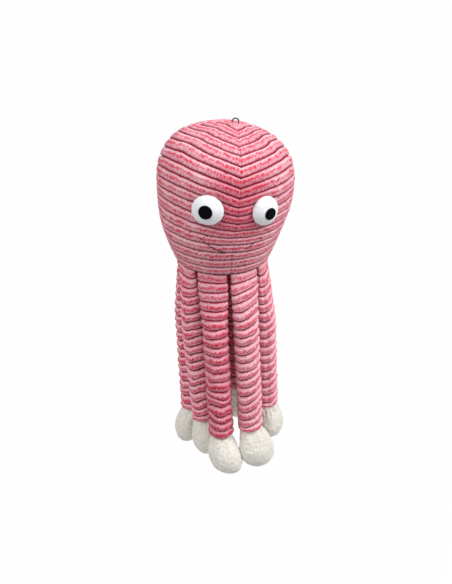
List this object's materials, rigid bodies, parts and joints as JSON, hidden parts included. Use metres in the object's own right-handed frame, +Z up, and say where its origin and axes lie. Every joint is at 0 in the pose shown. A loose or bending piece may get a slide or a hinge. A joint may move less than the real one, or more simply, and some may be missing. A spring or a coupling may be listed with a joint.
{
  "type": "plush octopus",
  "caption": "Soft toy octopus with a round ribbed-plush head, stitched eyes and smile, hanging ribbed legs with soft feet, and a cord loop on its crown to hang it by.",
  "frame": {"origin": "inside top of the cord loop on the crown, where a hook bears", "axes": "+Z up, opposite to the way the legs hang; the face looks along -Y; +X is to the right of someone who looks at the face"},
  "size_m": [0.1255, 0.1302, 0.3543],
  "materials": {
    "pink_plush": "matt ribbed plush with frosted pile",
    "foot_fleece": "matt short-pile fleece",
    "eye_cloth": "smooth matt felted cloth",
    "pupil_cloth": "matt black felt",
    "mouth_thread": "matt twisted thread",
    "loop_cord": "matt twisted cord",
    "filling": "loose polyester fibre"
  },
  "bodies": {
    "head": {"head_panel_right": "pink_plush", "head_panel_back": "pink_plush", "head_panel_left": "pink_plush", "head_filling": "filling", "base_panel": "pink_plush", "eye_left": "eye_cloth", "pupil_left": "pupil_cloth", "eye_right": "eye_cloth", "pupil_right": "pupil_cloth", "smile_thread": "mouth_thread", "hang_loop": "loop_cord"},
    "leg_1_upper": {"leg_1_upper_cover": "pink_plush", "leg_1_upper_filling": "filling"},
    "leg_1_lower": {"leg_1_lower_cover": "pink_plush", "leg_1_lower_filling": "filling"},
    "foot_1": {"foot_1_cover": "foot_fleece", "foot_1_filling": "filling"},
    "leg_2_upper": {"leg_2_upper_cover": "pink_plush", "leg_2_upper_filling": "filling"},
    "leg_2_lower": {"leg_2_lower_cover": "pink_plush", "leg_2_lower_filling": "filling"},
    "foot_2": {"foot_2_cover": "foot_fleece", "foot_2_filling": "filling"},
    "leg_3_upper": {"leg_3_upper_cover": "pink_plush", "leg_3_upper_filling": "filling"},
    "leg_3_lower": {"leg_3_lower_cover": "pink_plush", "leg_3_lower_filling": "filling"},
    "foot_3": {"foot_3_cover": "foot_fleece", "foot_3_filling": "filling"},
    "leg_4_upper": {"leg_4_upper_cover": "pink_plush", "leg_4_upper_filling": "filling"},
    "leg_4_lower": {"leg_4_lower_cover": "pink_plush", "leg_4_lower_filling": "filling"},
    "foot_4": {"foot_4_cover": "foot_fleece", "foot_4_filling": "filling"},
    "leg_5_upper": {"leg_5_upper_cover": "pink_plush", "leg_5_upper_filling": "filling"},
    "leg_5_lower": {"leg_5_lower_cover": "pink_plush", "leg_5_lower_filling": "filling"},
    "foot_5": {"foot_5_cover": "foot_fleece", "foot_5_filling": "filling"},
    "leg_6_upper": {"leg_6_upper_cover": "pink_plush", "leg_6_upper_filling": "filling"},
    "leg_6_lower": {"leg_6_lower_cover": "pink_plush", "leg_6_lower_filling": "filling"},
    "foot_6": {"foot_6_cover": "foot_fleece", "foot_6_filling": "filling"},
    "leg_7_upper": {"leg_7_upper_cover": "pink_plush", "leg_7_upper_filling": "filling"},
    "leg_7_lower": {"leg_7_lower_cover": "pink_plush", "leg_7_lower_filling": "filling"},
    "foot_7": {"foot_7_cover": "foot_fleece", "foot_7_filling": "filling"},
    "leg_8_upper": {"leg_8_upper_cover": "pink_plush", "leg_8_upper_filling": "filling"},
    "leg_8_lower": {"leg_8_lower_cover": "pink_plush", "leg_8_lower_filling": "filling"},
    "foot_8": {"foot_8_cover": "foot_fleece", "foot_8_filling": "filling"}
  },
  "joints": [
    {"name": "leg_1_hip", "type": "hinge", "parent": "head", "child": "leg_1_upper", "pos_m": [-0.03046, -0.04337, -0.13222], "axis": [-0.9135, 0.4067, 0], "range_deg": [0, 80]},
    {"name": "leg_1_bend", "type": "hinge", "parent": "leg_1_upper", "child": "leg_1_lower", "pos_m": [-0.02921, -0.04968, -0.21842], "axis": [-0.9135, 0.4067, 0], "range_deg": [0, 75]},
    {"name": "leg_1_ankle", "type": "hinge", "parent": "leg_1_lower", "child": "foot_1", "pos_m": [-0.02482, -0.04968, -0.31144], "axis": [-0.9135, 0.4067, 0], "range_deg": [0, 60]},
    {"name": "leg_2_hip", "type": "hinge", "parent": "head", "child": "leg_2_upper", "pos_m": [-0.05316, -0.01945, -0.13222], "axis": [-0.3584, 0.9336, 0], "range_deg": [0, 80]},
    {"name": "leg_2_bend", "type": "hinge", "parent": "leg_2_upper", "child": "leg_2_lower", "pos_m": [-0.05176, -0.02059, -0.21842], "axis": [-0.3584, 0.9336, 0], "range_deg": [0, 75]},
    {"name": "leg_2_ankle", "type": "hinge", "parent": "leg_2_lower", "child": "foot_2", "pos_m": [-0.04388, -0.01925, -0.30486], "axis": [-0.3584, 0.9336, 0], "range_deg": [0, 60]},
    {"name": "leg_3_hip", "type": "hinge", "parent": "head", "child": "leg_3_upper", "pos_m": [-0.0523, 0.01353, -0.13222], "axis": [0.4067, 0.9135, 0], "range_deg": [0, 80]},
    {"name": "leg_3_bend", "type": "hinge", "parent": "leg_3_upper", "child": "leg_3_lower", "pos_m": [-0.05506, 0.01657, -0.21842], "axis": [0.4067, 0.9135, 0], "range_deg": [0, 75]},
    {"name": "leg_3_ankle", "type": "hinge", "parent": "leg_3_lower", "child": "foot_3", "pos_m": [-0.05138, 0.01681, -0.3078], "axis": [0.4067, 0.9135, 0], "range_deg": [0, 60]},
    {"name": "leg_4_hip", "type": "hinge", "parent": "head", "child": "leg_4_upper", "pos_m": [-0.02837, 0.03624, -0.13222], "axis": [0.9336, 0.3584, 0], "range_deg": [0, 80]},
    {"name": "leg_4_bend", "type": "hinge", "parent": "leg_4_upper", "child": "leg_4_lower", "pos_m": [-0.02658, 0.04276, -0.21842], "axis": [0.9336, 0.3584, 0], "range_deg": [0, 75]},
    {"name": "leg_4_ankle", "type": "hinge", "parent": "leg_4_lower", "child": "foot_4", "pos_m": [-0.02224, 0.04284, -0.30572], "axis": [0.9336, 0.3584, 0], "range_deg": [0, 60]},
    {"name": "leg_5_hip", "type": "hinge", "parent": "head", "child": "leg_5_upper", "pos_m": [0.0046, 0.03537, -0.13222], "axis": [0.9135, -0.4067, 0], "range_deg": [0, 80]},
    {"name": "leg_5_bend", "type": "hinge", "parent": "leg_5_upper", "child": "leg_5_lower", "pos_m": [0.012, 0.04144, -0.21842], "axis": [0.9135, -0.4067, 0], "range_deg": [0, 75]},
    {"name": "leg_5_ankle", "type": "hinge", "parent": "leg_5_lower", "child": "foot_5", "pos_m": [0.01639, 0.04121, -0.30052], "axis": [0.9135, -0.4067, 0], "range_deg": [0, 60]},
    {"name": "leg_6_hip", "type": "hinge", "parent": "head", "child": "leg_6_upper", "pos_m": [0.02731, 0.01145, -0.13222], "axis": [0.3584, -0.9336, 0], "range_deg": [0, 80]},
    {"name": "leg_6_bend", "type": "hinge", "parent": "leg_6_upper", "child": "leg_6_lower", "pos_m": [0.03772, 0.01414, -0.21842], "axis": [0.3584, -0.9336, 0], "range_deg": [0, 75]},
    {"name": "leg_6_ankle", "type": "hinge", "parent": "leg_6_lower", "child": "foot_6", "pos_m": [0.04127, 0.01435, -0.29533], "axis": [0.3584, -0.9336, 0], "range_deg": [0, 60]},
    {"name": "leg_7_hip", "type": "hinge", "parent": "head", "child": "leg_7_upper", "pos_m": [0.02645, -0.02153, -0.13222], "axis": [-0.4067, -0.9135, 0], "range_deg": [0, 80]},
    {"name": "leg_7_bend", "type": "hinge", "parent": "leg_7_upper", "child": "leg_7_lower", "pos_m": [0.03613, -0.02403, -0.21842], "axis": [-0.4067, -0.9135, 0], "range_deg": [0, 75]},
    {"name": "leg_7_ankle", "type": "hinge", "parent": "leg_7_lower", "child": "foot_7", "pos_m": [0.03901, -0.02378, -0.29186], "axis": [-0.4067, -0.9135, 0], "range_deg": [0, 60]},
    {"name": "leg_8_hip", "type": "hinge", "parent": "head", "child": "leg_8_upper", "pos_m": [0.00252, -0.04424, -0.13222], "axis": [-0.9336, -0.3584, 0], "range_deg": [0, 80]},
    {"name": "leg_8_bend", "type": "hinge", "parent": "leg_8_upper", "child": "leg_8_lower", "pos_m": [0.00921, -0.05062, -0.21842], "axis": [-0.9336, -0.3584, 0], "range_deg": [0, 75]},
    {"name": "leg_8_ankle", "type": "hinge", "parent": "leg_8_lower", "child": "foot_8", "pos_m": [0.01349, -0.05056, -0.30572], "axis": [-0.9336, -0.3584, 0], "range_deg": [0, 60]}
  ]
}
